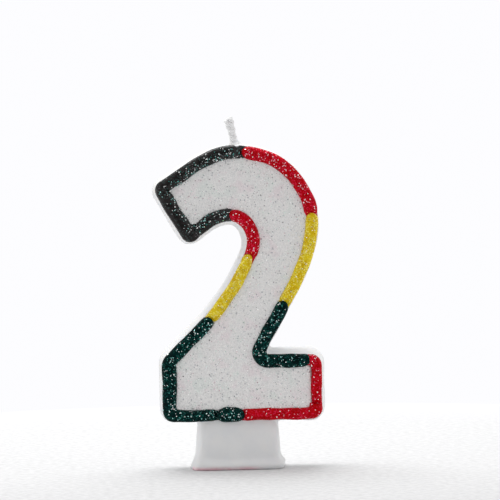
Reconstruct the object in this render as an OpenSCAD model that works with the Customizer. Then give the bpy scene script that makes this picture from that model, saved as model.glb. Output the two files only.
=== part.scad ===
// Number birthday candle in the shape of a 2: a one-piece cast wax numeral on a
// cake peg, a cotton wick, a glittered face and a border of piped glitter strokes.
// Millimetres. +Z is up, +X is to the right of a person who reads the numeral, and
// the decorated face looks along -Y. The origin is at the bottom centre of the candle.

/* [Wax numeral] */
// Height of the numeral above the peg, without the wick
numeral_h = 65.6; // [55:0.2:80]
// Thickness of the wax from the decorated face to the flat back
body_t = 12; // [8:0.5:16]
// How far the outline widens on each side from the face to the back
draft = 0.8; // [0.2:0.1:1.2]

/* [Piped border] */
// Width of a piped stroke
bead_w = 3.2; // [2.6:0.1:3.4]
// Height of a piped stroke above the face
bead_h = 1.5; // [0.8:0.1:2]
// Length of the round nose where one stroke laps over the next
nose = 1.1; // [0.4:0.1:1.3]
// Thickness of the glitter glaze inside the border
glaze_t = 0.3; // [0.2:0.05:0.6]

/* [Peg] */
// Height of the peg that goes into the cake
peg_h = 11.6; // [8:0.2:20]
// Width of the peg's front where it meets the numeral
peg_top_w = 18; // [12:0.5:24]
// Width of the peg's front above its foot
peg_low_w = 19.4; // [13:0.5:26]
// How far the foot of the peg stands out at the front and at each side
foot_lip = 1.1; // [0.4:0.1:1.4]
// Height at which the peg starts to flare into its foot
foot_h = 3.2; // [2.5:0.1:5]

/* [Wick] */
// Diameter of the waxed cotton wick
wick_d = 1.7; // [1.2:0.1:2.4]
// Length of the wick above the wax
stub = 7.3; // [5:0.1:12]
// Angle at which the end of the wick leans to the left
stub_lean = 10.5; // [0:0.5:25]

/* [Hidden] */

// Corners of the border's middle line for a numeral 65.6 mm tall, anticlockwise:
// distance to the right of the middle, height above the peg, and corner radius
CORNERS = [
    [-17.0, 1.6, 1.0],    // base, lower left
    [18.0, 1.6, 1.0],     // base, lower right
    [18.0, 14.2, 1.2],    // end of the foot, upper right
    [3.0, 14.3, 2.1],     // notch between the foot and the diagonal
    [15.0, 35.5, 40],     // start of the bowl
    [19.6, 50.2, 17.6],     // right side of the bowl
    [9.5, 63.4, 16],      // right shoulder of the bowl
    [-4.6, 64.5, 19.6],   // crown
    [-18.3, 55.6, 1.0],   // end of the hook, upper corner
    [-11.5, 44.3, 0.5],   // end of the hook, lower corner
    [-5.5, 48.8, 9.6],   // mouth of the bay under the hook
    [1.1, 49.7, 5.2],     // top of the bay
    [4.5, 42.6, 7.6],     // right side of the bay
    [-2.7, 28.4, 60],     // inner side of the diagonal
    [-17.0, 14.4, 2.0]    // shoulder of the base
];
drawn_h = 65.6;
size = numeral_h / drawn_h;

// Middle of the wick below the crown for the same numeral, from the crown to the peg
WICK_ROUTE = [[-0.1, 65.6], [0.9, 62.4], [3.6, 59.8], [7.5, 57.3], [10.8, 53.4],
              [12.2, 48.4], [11.6, 42.8], [9.2, 36.9], [6.0, 31.0], [2.8, 25.4],
              [0.2, 19.4], [-0.9, 13.4], [-1.0, 6.4], [-0.8, -0.6]];

// Where each stroke starts along the border, from the lower left corner anticlockwise,
// and which way the nose at that start points: 1 when the stroke before laps over
// this one, -1 when this one laps over the stroke before
SEAMS = [
    [12.6, -1],     // green_base
    [16.9, 1],      // red_base
    [36.5, 1],      // red_side
    [49.9, -1],     // green_notch
    [74.4, 1],      // yellow_outer
    [96.9, 1],      // red_arc
    [121.0, 1],     // black_arc
    [144.0, -1],    // black_end
    [158.0, -1],    // black_inner
    [168.6, -1],    // red_inner
    [180.8, -1],    // yellow_inner
    [198.7, -1]     // green_left
];

// Depths: the candle's box is centred on Y = 0
face_y = -(body_t - bead_h) / 2;
back_y = face_y + body_t;
wick_y = (face_y + back_y) / 2;

// Peg
peg_x = -0.5;
peg_corner_r = 1.5;
peg_embed = 1;
foot_edge_h = 1.5;
foot_edge_r = 0.4;
slab = 0.02;

// Wick
wick_sides = 10;
tip_flare = 1.3;
collar_h = 1.8;
collar_r = 2.1;
collar_sink = 1;

// Fineness: the most degrees of turn and the most millimetres in one step round a
// corner, and the number of steps over a bead
arc_step = 10;
longest_step = 3;
dome_steps = 8;
sharpest_r = 0.25;
glaze_gap = 0.05;
core_overlap = 0.5;

red = [0.72, 0.02, 0.08];
yellow = [0.93, 0.73, 0.10];
green = [0.02, 0.27, 0.22];
black = [0.10, 0.09, 0.10];
wax_white = [0.95, 0.95, 0.93];
glitter_grey = [0.80, 0.80, 0.79];
cotton = [0.88, 0.87, 0.83];

// ---- outline of the numeral -------------------------------------------------

function unit(v) = v / norm(v);
function right_of(v) = [v.y, -v.x];
function turned(v, a) = [v.x * cos(a) - v.y * sin(a), v.x * sin(a) + v.y * cos(a)];

// One corner of the outline as an arc. before, at and after are neighbouring corner
// points, r is the corner's radius and grow is how far the outline stands outside
// the border's middle line.
function corner_arc(before, at, after, r, grow) =
    let (
        u = unit(at - before),
        v = unit(after - at),
        bend = atan2(u.x * v.y - u.y * v.x, u * v),
        side = sign(bend),
        tip = at + (right_of(u) + right_of(v)) / (1 + u * v) * grow,
        arc_r = max(r + side * grow, sharpest_r),
        start = tip - u * arc_r * tan(abs(bend) / 2),
        hub = start - right_of(u) * arc_r * side,
        arc_len = r * PI * abs(bend) / 180,
        steps = max(1, ceil(abs(bend) / arc_step), ceil(arc_len / longest_step))
    )
    [for (i = [0:steps]) hub + turned(start - hub, bend * i / steps)];

function corner_at(i) =
    let (c = CORNERS[(i + len(CORNERS)) % len(CORNERS)]) [c.x, c.y] * size;

// Closed outline that stands grow outside the border's middle line, as [x, z] points
function outline(grow) = [
    for (i = [0:len(CORNERS) - 1])
        each corner_arc(corner_at(i - 1), corner_at(i), corner_at(i + 1),
                        CORNERS[i].z * size, grow)
];

// ---- piped border -----------------------------------------------------------

middle = outline(0);
edge_len = [for (i = [0:len(middle) - 1]) norm(middle[(i + 1) % len(middle)] - middle[i])];

// Running length along the middle line, over two laps so that a stroke may pass the
// lower left corner
laps = 2;
function running(lens, count, i = 0, sum = 0, out = []) =
    i == count ? concat(out, [sum])
               : running(lens, count, i + 1, sum + lens[i % len(lens)], concat(out, [sum]));
mile = running(edge_len, laps * len(middle));
lap_len = mile[len(middle)];

// Cross-section of a bead: how far each point lies outside the middle line, and its
// height above the face
half_w = bead_w / 2;
section = [for (j = [0:dome_steps]) [half_w * cos(180 * j / dome_steps),
                                     bead_h * sin(180 * j / dome_steps)]];

// For each point of the cross-section, tables of x and z against running length
lanes = [for (p = section) outline(p.x)];
lane_x = [for (lane = lanes) [for (i = [0:len(mile) - 1]) [mile[i], lane[i % len(lane)].x]]];
lane_z = [for (lane = lanes) [for (i = [0:len(mile) - 1]) [mile[i], lane[i % len(lane)].y]]];

function place(j, s, height) = [lookup(s, lane_x[j]), face_y - height, peg_h + lookup(s, lane_z[j])];

// How far a seam reaches past its place at point j of the cross-section
function nose_reach(j) = nose * sqrt(max(0, 1 - pow(section[j].x / half_w, 2)));

function seam_start(k) = SEAMS[k % len(SEAMS)][0] * size + (k >= len(SEAMS) ? lap_len : 0);
function seam_side(k) = SEAMS[k % len(SEAMS)][1];

// One ring of a stroke: over the dome and back along the face
function ring(s, side) = concat(
    [for (j = [0:dome_steps]) place(j, s + side * nose_reach(j), section[j].y)],
    [for (j = [dome_steps - 1:-1:1]) place(j, s + side * nose_reach(j), 0)]
);

// Flat wall across the end of a stroke, in strips from the dome down to the face
function end_wall(first, flip) =
    let (size_of_ring = 2 * dome_steps)
    [for (j = [0:dome_steps - 1])
        let (
            low_a = j == 0 ? 0 : size_of_ring - j,
            low_b = j == dome_steps - 1 ? dome_steps : size_of_ring - j - 1,
            strip = j == 0 ? [0, 1, low_b] : j == dome_steps - 1 ? [j, j + 1, low_a]
                                                                : [j, j + 1, low_b, low_a]
        )
        [for (i = [0:len(strip) - 1]) first + strip[flip ? len(strip) - 1 - i : i]]];

// Stroke number k, from its own seam to the next one
module stroke(k) {
    from = seam_start(k);
    to = seam_start(k + 1);
    clear = nose + 0.3;
    stops = concat([from], [for (s = mile) if (s > from + clear && s < to - clear) s], [to]);
    last = len(stops) - 1;
    count = 2 * dome_steps;
    points = [
        for (i = [0:last])
            each ring(stops[i], i == 0 ? seam_side(k) : i == last ? seam_side(k + 1) : 0)
    ];
    sides = [
        for (i = [0:last - 1], j = [0:count - 1])
            let (a = i * count + j, b = i * count + (j + 1) % count)
            [a, b, b + count, a + count]
    ];
    polyhedron(points, concat(sides, end_wall(0, true), end_wall(last * count, false)));
}

// ---- wax --------------------------------------------------------------------

// Rim of the numeral, under the border: straight drafted walls outside, upright inside
module rim() {
    loops = [[half_w, face_y], [half_w + draft, back_y], [-half_w, back_y], [-half_w, face_y]];
    n = len(middle);
    points = [for (l = loops) for (p = outline(l[0])) [p.x, l[1], peg_h + p.y]];
    faces = [
        for (l = [0:len(loops) - 1], i = [0:n - 1])
            let (a = l * n, b = (l + 1) % len(loops) * n, k = (i + 1) % n)
            [a + i, a + k, b + k, b + i]
    ];
    polyhedron(points, faces);
}

// Plate of the numeral's full thickness, or of a skin on its face, inside an outline
module plate(grow, front, depth) {
    translate([0, front + depth, peg_h])
        rotate([90, 0, 0])
            linear_extrude(depth)
                polygon(outline(grow));
}

module numeral() {
    rim();
    plate(core_overlap - half_w, face_y, body_t);
}

// Thin level slice of the peg. width is that of its front, and the back is wider by
// the draft on each side. lip is how far the slice stands out of the face.
module peg_slice(width, lip, z) {
    front = width / 2 - peg_corner_r;
    front_y = face_y - lip + peg_corner_r;
    rear_y = back_y - peg_corner_r;
    translate([peg_x, 0, z])
        linear_extrude(slab)
            offset(r = peg_corner_r, $fn = 32)
                polygon([[-front, front_y], [front, front_y],
                         [front + draft, rear_y], [-front - draft, rear_y]]);
}

module peg() {
    foot_w = peg_low_w + 2 * foot_lip;
    hull() {
        peg_slice(peg_top_w, 0, peg_h + peg_embed);
        peg_slice(peg_low_w, 0, foot_h);
    }
    hull() {
        peg_slice(peg_low_w, 0, foot_h);
        peg_slice(foot_w, foot_lip, foot_edge_h);
        peg_slice(foot_w - 2 * foot_edge_r, foot_lip - foot_edge_r, 0);
    }
}

// Ragged rim of wax that climbs the wick where it leaves the crown
module collar() {
    crown = WICK_ROUTE[0] * size;
    translate([crown.x, wick_y, peg_h + crown.y])
        rotate([0, -stub_lean, 0])
            translate([0, 0, -collar_sink])
                cylinder(h = collar_sink + collar_h, r1 = collar_r, r2 = wick_d / 2 + 0.2, $fn = 48);
}

module wax_body() {
    color(wax_white)
        difference() {
            union() {
                numeral();
                peg();
                collar();
            }
            wick_cord();
        }
}

// ---- wick -------------------------------------------------------------------

// Middle of the whole wick from its tip to its end in the peg, as [x, z]
wick_exit = WICK_ROUTE[0] * size;
stub_dir = [-sin(stub_lean), cos(stub_lean)];
wick_points = concat(
    [for (part = [1, 0.85, 0.4]) wick_exit + stub_dir * stub * part],
    [for (p = WICK_ROUTE) p * size],
    [[peg_x, -peg_h * 0.6]]
);

function along(i) =
    let (last = len(wick_points) - 1)
    unit(wick_points[min(i + 1, last)] - wick_points[max(i - 1, 0)]);

// Round cord carried along the wick's points, spread a little at its cut tip
module wick_cord() {
    last = len(wick_points) - 1;
    points = [
        for (i = [0:last], a = [0:wick_sides - 1])
            let (
                across = right_of(along(i)),
                r = wick_d / 2 * (i == 0 ? tip_flare : 1),
                turn = 360 * a / wick_sides,
                p = wick_points[i] + across * r * cos(turn)
            )
            [p.x, wick_y + r * sin(turn), peg_h + p.y]
    ];
    sides = [
        for (i = [0:last - 1], a = [0:wick_sides - 1])
            let (b = (a + 1) % wick_sides, low = i * wick_sides, high = low + wick_sides)
            [low + a, high + a, high + b, low + b]
    ];
    polyhedron(points, concat(sides, [[for (a = [0:wick_sides - 1]) a]],
                              [[for (a = [wick_sides - 1:-1:0]) last * wick_sides + a]]));
}

module wick() {
    color(cotton) wick_cord();
}

// ---- face -------------------------------------------------------------------

// Thin skin of clear glitter glaze on the face, inside the border
module glitter_glaze() {
    color(glitter_grey) plate(-half_w - glaze_gap, face_y - glaze_t, glaze_t);
}

// ---- strokes of the border --------------------------------------------------

module green_base_bead() { color(green) stroke(0); }
module red_base_bead() { color(red) stroke(1); }
module red_side_bead() { color(red) stroke(2); }
module green_notch_bead() { color(green) stroke(3); }
module yellow_outer_bead() { color(yellow) stroke(4); }
module red_arc_bead() { color(red) stroke(5); }
module black_arc_bead() { color(black) stroke(6); }
module black_end_bead() { color(black) stroke(7); }
module black_inner_bead() { color(black) stroke(8); }
module red_inner_bead() { color(red) stroke(9); }
module yellow_inner_bead() { color(yellow) stroke(10); }
module green_left_bead() { color(green) stroke(11); }

wax_body();
wick();
glitter_glaze();
black_arc_bead();
black_end_bead();
black_inner_bead();
red_arc_bead();
red_inner_bead();
yellow_outer_bead();
yellow_inner_bead();
green_notch_bead();
green_left_bead();
green_base_bead();
red_side_bead();
red_base_bead();
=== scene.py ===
"""Looks of a number birthday candle: a cast wax numeral 2 with a glittered face.

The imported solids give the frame. Every piece below is built in millimetres in that
frame, +Z up and the decorated face towards -Y, and put into its mesh in metres.
"""

import logging
import math
from dataclasses import dataclass
from enum import Enum, IntEnum

import bpy
import numpy as np
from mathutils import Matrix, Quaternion, Vector
from mathutils.geometry import delaunay_2d_cdt


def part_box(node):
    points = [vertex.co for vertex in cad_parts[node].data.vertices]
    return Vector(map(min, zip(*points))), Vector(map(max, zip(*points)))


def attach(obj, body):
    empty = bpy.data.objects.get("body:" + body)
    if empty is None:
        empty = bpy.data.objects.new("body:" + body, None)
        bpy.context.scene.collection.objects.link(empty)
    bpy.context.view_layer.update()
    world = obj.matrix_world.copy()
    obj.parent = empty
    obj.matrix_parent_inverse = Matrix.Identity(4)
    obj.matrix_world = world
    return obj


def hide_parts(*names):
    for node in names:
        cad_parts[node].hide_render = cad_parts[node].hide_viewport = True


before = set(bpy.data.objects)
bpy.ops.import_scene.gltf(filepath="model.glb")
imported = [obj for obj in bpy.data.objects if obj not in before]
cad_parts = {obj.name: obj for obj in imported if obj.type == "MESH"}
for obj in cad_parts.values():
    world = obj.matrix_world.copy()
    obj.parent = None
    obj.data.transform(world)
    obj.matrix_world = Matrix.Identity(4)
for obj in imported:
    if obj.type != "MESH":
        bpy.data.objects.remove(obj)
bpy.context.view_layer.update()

LOG = logging.getLogger("candle")
MM = 0.001
BODY = "root"


class Slot(Enum):
    """Material slots of the record that the pieces take their finish from."""

    WAX = "wax"
    COTTON = "waxed_cotton"
    GLAZE = "glitter_glaze"
    BLACK = "black_glitter"
    RED = "red_glitter"
    YELLOW = "yellow_glitter"
    GREEN = "green_glitter"


class Seed(IntEnum):
    """Seeds of the random draws; the last four are the first of a run of seeds."""

    GLAZE_WAVES = 41
    GLAZE_GRAIN = 42
    FACE_PLACES = 43
    FACE_FILM = 44
    COLLAR = 61
    WAX_SWELL = 62
    WAX_GRAIN = 63
    RIPPLES = 64
    STRANDS = 80
    STROKES = 100
    PLACES = 500
    FILM = 700


# ---- shader graphs ---------------------------------------------------------------


class Value:
    """A shader socket that takes part in Python arithmetic."""

    def __init__(self, graph: "Graph", socket: bpy.types.NodeSocket) -> None:
        """Keeps the socket and the graph that it belongs to."""
        self.graph = graph
        self.socket = socket

    def _math(self, operation: str, *others: object) -> "Value":
        """Adds one Math node.

        Args:
            operation: Math operation, such as "ADD".
            others: the further operands, each a Value or a number.

        Returns:
            The node's result.
        """
        inputs = dict(enumerate((self, *others)))
        return self.graph.node("ShaderNodeMath", {"operation": operation}, inputs)

    def __add__(self, other: object) -> "Value":
        """Returns self + other."""
        return self._math("ADD", other)

    def __sub__(self, other: object) -> "Value":
        """Returns self - other."""
        return self._math("SUBTRACT", other)

    def __rsub__(self, other: object) -> "Value":
        """Returns other - self."""
        return self.graph.node("ShaderNodeMath", {"operation": "SUBTRACT"}, {0: other, 1: self})

    def __mul__(self, other: object) -> "Value":
        """Returns self * other."""
        return self._math("MULTIPLY", other)

    def __gt__(self, other: object) -> "Value":
        """Returns 1 where self is greater than other, otherwise 0."""
        return self._math("GREATER_THAN", other)

    def __lt__(self, other: object) -> "Value":
        """Returns 1 where self is less than other, otherwise 0."""
        return self._math("LESS_THAN", other)

    __radd__ = __add__

    def ramp(self, low: float, high: float, bottom: float = 0.0, top: float = 1.0) -> "Value":
        """Carries low..high smoothly onto bottom..top and clamps outside.

        Args:
            low: value that becomes bottom.
            high: value that becomes top.
            bottom: lowest result.
            top: highest result.

        Returns:
            The carried value.
        """
        settings = {"interpolation_type": "SMOOTHSTEP"}
        inputs = {"Value": self, "From Min": low, "From Max": high, "To Min": bottom, "To Max": top}
        return self.graph.node("ShaderNodeMapRange", settings, inputs)


class Graph:
    """Node tree of one new material."""

    def __init__(self, name: str) -> None:
        """Makes the material with an empty tree and an output node."""
        self.material = bpy.data.materials.new(name)
        self.material.use_nodes = True
        self.tree = self.material.node_tree
        self.tree.nodes.clear()
        self.output = self.tree.nodes.new("ShaderNodeOutputMaterial")

    @classmethod
    def of_world(cls, world: bpy.types.World) -> "Graph":
        """Returns a graph on a world's tree, emptied but for its output node."""
        graph = cls.__new__(cls)
        graph.tree = world.node_tree
        graph.tree.nodes.clear()
        graph.output = graph.tree.nodes.new("ShaderNodeOutputWorld")
        return graph

    def node(
        self,
        kind: str,
        settings: dict[str, object] | None = None,
        inputs: dict[str | int, object] | None = None,
        output: str | int = 0,
    ) -> Value:
        """Adds a node.

        Args:
            kind: node type, such as "ShaderNodeTexNoise".
            settings: attributes set before the sockets; "stops" sets a ramp's colours
                and "steps" how it goes from one to the next.
            inputs: socket name or number to a Value, a number or a tuple.
            output: name or number of the output wanted.

        Returns:
            That output.
        """
        made = self.tree.nodes.new(kind)
        for key, value in (settings or {}).items():
            if key == "stops":
                self._set_stops(made.color_ramp, value)
            elif key == "steps":
                made.color_ramp.interpolation = value
            else:
                setattr(made, key, value)
        for key, value in (inputs or {}).items():
            if isinstance(value, Value):
                self.tree.links.new(value.socket, made.inputs[key])
            else:
                made.inputs[key].default_value = value
        return Value(self, made.outputs[output])

    @staticmethod
    def _set_stops(ramp: bpy.types.ColorRamp, stops: list[tuple[float, tuple]]) -> None:
        """Replaces a colour ramp's stops with (place, colour) pairs."""
        while len(ramp.elements) > 1:
            ramp.elements.remove(ramp.elements[-1])
        for index, (place, colour) in enumerate(stops):
            element = ramp.elements[0] if index == 0 else ramp.elements.new(place)
            element.position = place
            element.color = (*colour, 1.0)

    def coords(self) -> Value:
        """Returns the piece's own Object coordinates, in metres."""
        return self.node("ShaderNodeTexCoord", output="Object")

    def axis(self, name: str) -> Value:
        """Returns one Object coordinate in millimetres; name is X, Y or Z."""
        return self.node("ShaderNodeSeparateXYZ", None, {0: self.coords()}, name) * (1 / MM)

    def noise(self, grain_mm: float, detail: float = 2.0, roughness: float = 0.5) -> Value:
        """Returns smooth noise, 0 to 1, with features about grain_mm across."""
        inputs = {
            "Vector": self.coords(),
            "Scale": 1 / (grain_mm * MM),
            "Detail": detail,
            "Roughness": roughness,
        }
        return self.node("ShaderNodeTexNoise", None, inputs)

    def cells(self, grain_mm: float, output: str) -> Value:
        """Returns an output of a Voronoi pattern with cells about grain_mm across."""
        inputs = {"Vector": self.coords(), "Scale": 1 / (grain_mm * MM)}
        return self.node("ShaderNodeTexVoronoi", None, inputs, output)

    def dice(self, grain_mm: float, number: int) -> Value:
        """Returns one of the three random numbers of a cell; number is 0, 1 or 2."""
        inputs = {0: self.cells(grain_mm, "Color")}
        return self.node("ShaderNodeSeparateColor", None, inputs, number)

    def mix(self, factor: object, first: object, second: object) -> Value:
        """Returns the colour first where factor is 0 and second where it is 1."""
        inputs = {"Factor": factor, 6: first, 7: second}
        return self.node("ShaderNodeMix", {"data_type": "RGBA"}, inputs, 2)

    def vector(self, operation: str, first: object, second: object) -> Value:
        """Returns the result of one Vector Math node with two operands."""
        return self.node("ShaderNodeVectorMath", {"operation": operation}, {0: first, 1: second})

    def bump(self, height: Value, depth_mm: float, strength: float = 1.0) -> Value:
        """Returns a normal raised by height, where 1 is depth_mm high."""
        inputs = {"Height": height, "Distance": depth_mm * MM, "Strength": strength}
        return self.node("ShaderNodeBump", None, inputs)

    def glints(self, grain_mm: float, tilt: Value | float) -> Value:
        """Gives every small cell of the surface its own facing direction.

        The direction is the surface normal plus a random vector of the cell, scaled
        by tilt, and made one unit long.

        Args:
            grain_mm: size of a cell.
            tilt: how far a cell may lean, 0 for not at all.

        Returns:
            The normal.
        """
        lean = self.vector("SUBTRACT", self.cells(grain_mm, "Color"), CELL_MIDDLE)
        inputs = {0: lean, "Scale": tilt}
        lean = self.node("ShaderNodeVectorMath", {"operation": "SCALE"}, inputs)
        normal = self.node("ShaderNodeNewGeometry", output="Normal")
        lean = self.vector("ADD", normal, lean)
        return self.node("ShaderNodeVectorMath", {"operation": "NORMALIZE"}, {0: lean})

    def finish(self, **inputs: object) -> bpy.types.Material:
        """Ends the graph in a Principled shader.

        Args:
            inputs: socket names in lower case with _ for spaces, and their values.

        Returns:
            The material.
        """
        named = {
            key.replace("_", " ").title().replace("Ior", "IOR"): value
            for key, value in inputs.items()
        }
        shader = self.node("ShaderNodeBsdfPrincipled", None, named)
        self.tree.links.new(shader.socket, self.output.inputs["Surface"])
        return self.material


def rgb(red: float, green: float, blue: float) -> tuple[float, float, float, float]:
    """Returns an opaque colour."""
    return (red, green, blue, 1.0)


WHITE_AIR = rgb(0.98, 0.98, 1.0)
EVEN_SPREAD = (1.0, 1.0, 1.0)
CELL_MIDDLE = (0.5, 0.5, 0.5)

# ---- finishes --------------------------------------------------------------------


@dataclass(frozen=True)
class WaxFinish:
    """Cast white paraffin: soft, slightly translucent, faintly mottled."""

    name: str = "cast_wax"
    white: tuple = rgb(0.81, 0.81, 0.81)
    cloud: tuple = rgb(0.775, 0.78, 0.79)
    stain: tuple = rgb(0.85, 0.42, 0.50)
    stain_height: float = 1.1
    stain_share: float = 0.6
    pit_depth: float = 0.04

    def material(self) -> bpy.types.Material:
        """Returns the wax, with a faint pink stain along the foot's lower edge."""
        graph = Graph(self.name)
        clouds = graph.noise(5.0, 3.0).ramp(0.35, 0.7)
        pits = graph.noise(0.7, 4.0)
        colour = graph.mix(clouds, self.white, self.cloud)
        low = graph.axis("Z").ramp(0.3, self.stain_height, 1.0, 0.0)
        patch = graph.noise(2.5, 1.0).ramp(0.3, 0.6, 0.5, 1.0)
        left = graph.axis("X").ramp(1.0, 6.0, 1.0, 0.0)
        fore = graph.axis("Y").ramp(-2.0, 0.0, 1.0, 0.0)
        colour = graph.mix(low * (patch * left * fore) * self.stain_share, colour, self.stain)
        return graph.finish(
            base_color=colour,
            roughness=pits.ramp(0.3, 0.7, 0.38, 0.55),
            subsurface_weight=0.35,
            subsurface_radius=(1.0, 0.9, 0.8),
            subsurface_scale=0.9 * MM,
            ior=1.44,
            normal=graph.bump(pits, self.pit_depth, 0.5),
        )


@dataclass(frozen=True)
class GelFinish:
    """Piped glitter gel: a deep glossy body with fine glitter cast into it.

    Attributes:
        name: material name.
        deep: colour of thick gel.
        thin: colour of thinner gel.
        glitter: colour of the fine glitter under the skin.
        share: share of the surface that the fine glitter takes.
        grain: size of the fine glitter in millimetres.
        gloss: roughness of the skin.
        specular: strength of the skin's reflection.
        milk: how far light spreads inside the gel.
    """

    name: str
    deep: tuple
    thin: tuple
    glitter: tuple
    share: float
    grain: float = 0.26
    gloss: float = 0.24
    specular: float = 0.35
    milk: float = 0.05

    def material(self) -> bpy.types.Material:
        """Returns the gel."""
        graph = Graph(self.name)
        body = graph.mix(graph.noise(1.6, 2.0).ramp(0.35, 0.7), self.deep, self.thin)
        patch = graph.noise(1.3, 2.0).ramp(0.35, 0.65, 0.25, 1.6)
        flake = graph.dice(self.grain, 0) < patch * self.share
        colour = graph.mix(flake, body, self.glitter)
        return graph.finish(
            base_color=colour,
            metallic=flake * 0.3,
            roughness=self.gloss + flake * 0.1,
            specular_ior_level=self.specular,
            subsurface_weight=self.milk,
            subsurface_radius=EVEN_SPREAD,
            subsurface_scale=0.5 * MM,
            normal=graph.glints(self.grain, flake * 0.6 + 0.05),
        )


@dataclass(frozen=True)
class GlazeFinish:
    """Clear glaze full of fine silver glitter over white wax."""

    name: str = "glitter_glaze"
    light: tuple = rgb(0.865, 0.85, 0.84)
    shade: tuple = rgb(0.765, 0.76, 0.76)
    dark: tuple = rgb(0.28, 0.29, 0.33)
    rose: tuple = rgb(0.80, 0.68, 0.72)
    mint: tuple = rgb(0.70, 0.78, 0.74)
    grain: float = 0.24
    spot: float = 0.55
    spotted: float = 0.10

    def material(self) -> bpy.types.Material:
        """Returns the glaze: fine grain, sparse dark specks, faint pearl tints."""
        graph = Graph(self.name)
        first = graph.dice(self.grain, 0)
        second = graph.dice(self.grain, 1)
        tone = graph.mix(first, self.shade, self.light)
        rose = graph.noise(3.5, 2.0).ramp(0.52, 0.72) * 0.5
        mint = graph.noise(4.5, 2.0).ramp(0.3, 0.46, 1.0, 0.0) * 0.4
        tone = graph.mix(rose, tone, self.rose)
        tone = graph.mix(mint, tone, self.mint)
        speck = graph.dice(self.spot, 2) > 1 - self.spotted
        round_spot = graph.cells(self.spot, "Distance").ramp(0.22, 0.45, 1.0, 0.0)
        tone = graph.mix(speck * round_spot * 0.65, tone, self.dark)
        flake = second > 0.8
        return graph.finish(
            base_color=tone,
            metallic=flake * 0.35,
            roughness=0.5 - flake * 0.2,
            coat_weight=0.15,
            coat_roughness=0.2,
            normal=graph.glints(self.grain, flake * 0.5 + 0.25),
        )


@dataclass(frozen=True)
class FlakeFinish:
    """Polished film flakes, each with its own tint.

    Attributes:
        name: material name.
        tints: colours that the flakes' random tint attribute picks from.
    """

    name: str
    tints: tuple

    def material(self) -> bpy.types.Material:
        """Returns the film; the tint attribute is one number for each flake."""
        graph = Graph(self.name)
        tint = graph.node("ShaderNodeAttribute", {"attribute_name": "tint"}, None, "Fac")
        count = len(self.tints)
        stops = [(index / count, colour[:3]) for index, colour in enumerate(self.tints)]
        ramp = graph.node("ShaderNodeValToRGB", {"stops": stops, "steps": "CONSTANT"}, {0: tint})
        worn = graph.noise(0.12, 1.0)
        return graph.finish(
            base_color=ramp,
            metallic=0.9,
            roughness=worn.ramp(0.3, 0.7, 0.14, 0.26),
        )


@dataclass(frozen=True)
class CottonFinish:
    """Cotton yarn of the wick, stiffened and greyed by wax."""

    name: str = "waxed_cotton"
    yarn: tuple = rgb(0.84, 0.84, 0.84)
    # Darker colour: painted shade in the fibres' hollows, and the colour of random blotches.
    blotch_and_hollow_shade: tuple = rgb(0.82, 0.82, 0.825)

    def material(self) -> bpy.types.Material:
        """Returns the yarn with fine fibres, painted shade in the fibres' hollows and random darker
        blotches.
        """
        graph = Graph(self.name)
        fibre = graph.noise(0.16, 3.0, 0.65)
        blotch = graph.noise(0.8, 2.0).ramp(0.35, 0.65)
        # Painted shade: the darker colour goes where the fibre bump is low, standing in for shade
        # in the hollows.
        colour = graph.mix(fibre.ramp(0.35, 0.6), self.blotch_and_hollow_shade, self.yarn)
        # Random darker blotches of waxed yarn, in that same darker colour.
        colour = graph.mix(blotch * 0.35, colour, self.blotch_and_hollow_shade)
        return graph.finish(
            base_color=colour,
            roughness=fibre.ramp(0.3, 0.7, 0.5, 0.75),
            subsurface_weight=0.2,
            subsurface_radius=EVEN_SPREAD,
            subsurface_scale=0.5 * MM,
            normal=graph.bump(fibre, 0.03, 0.4),
        )


@dataclass(frozen=True)
class FloorFinish:
    """Plain pale table that fades into the white surroundings away from the candle.

    Attributes:
        name: material name.
        fore: colour in front of the candle, darker than rear as painted shade where the light falls
            off towards the front.
        rear: colour behind it.
        painted_shade_span: how far before and behind the candle the colour stops changing.
        mottle: share of the colour that the mottling takes away.
        near: distance at which the fade begins, in millimetres.
        far: distance at which it ends.
    """

    name: str = "pale_floor_painted_shade"
    # fore is darker than rear: painted shade in front of the candle, not a colour of the table.
    fore: tuple = rgb(0.655, 0.655, 0.66)
    rear: tuple = rgb(0.725, 0.725, 0.73)
    painted_shade_span: tuple = (-90.0, -5.0)
    mottle: float = 0.14
    near: float = 110.0
    far: float = 185.0

    def material(self) -> bpy.types.Material:
        """Returns a matt, barely mottled white, darker in front of the candle as painted shade,
        glowing white in the distance.
        """
        graph = Graph(self.name)
        black = rgb(0.0, 0.0, 0.0)
        grain = graph.noise(1.6, 3.0, 0.6).ramp(0.3, 0.7) * self.mottle
        # Painted shade: the colour darkens from rear to fore towards the front, standing in for the
        # candle's soft shadow and the light falling off.
        colour = graph.mix(graph.axis("Y").ramp(*self.painted_shade_span), self.fore, self.rear)
        colour = graph.mix(grain, colour, black)
        settings = {"operation": "LENGTH"}
        length = graph.node("ShaderNodeVectorMath", settings, {0: graph.coords()}, "Value")
        away = length.ramp(self.near * MM, self.far * MM)
        return graph.finish(
            base_color=graph.mix(away, colour, black),
            roughness=0.85,
            specular_ior_level=0.1,
            emission_color=graph.mix(away, black, WHITE_AIR),
            emission_strength=1.0,
        )


SILVER = rgb(0.78, 0.82, 0.82)
PEARL = rgb(1.0, 1.0, 0.98)
TEAL = rgb(0.06, 0.30, 0.26)
CYAN = rgb(0.40, 0.75, 0.72)
DEEP_TEAL = rgb(0.02, 0.12, 0.11)
ROSE = rgb(1.0, 0.52, 0.60)
CRIMSON = rgb(0.60, 0.02, 0.06)
GOLD = rgb(0.86, 0.70, 0.20)
LIME = rgb(0.62, 0.70, 0.20)
SMOKE = rgb(0.16, 0.16, 0.17)
ASH = rgb(0.42, 0.42, 0.43)
PALE_ROSE = rgb(0.90, 0.72, 0.76)
PALE_MINT = rgb(0.70, 0.86, 0.78)

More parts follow.
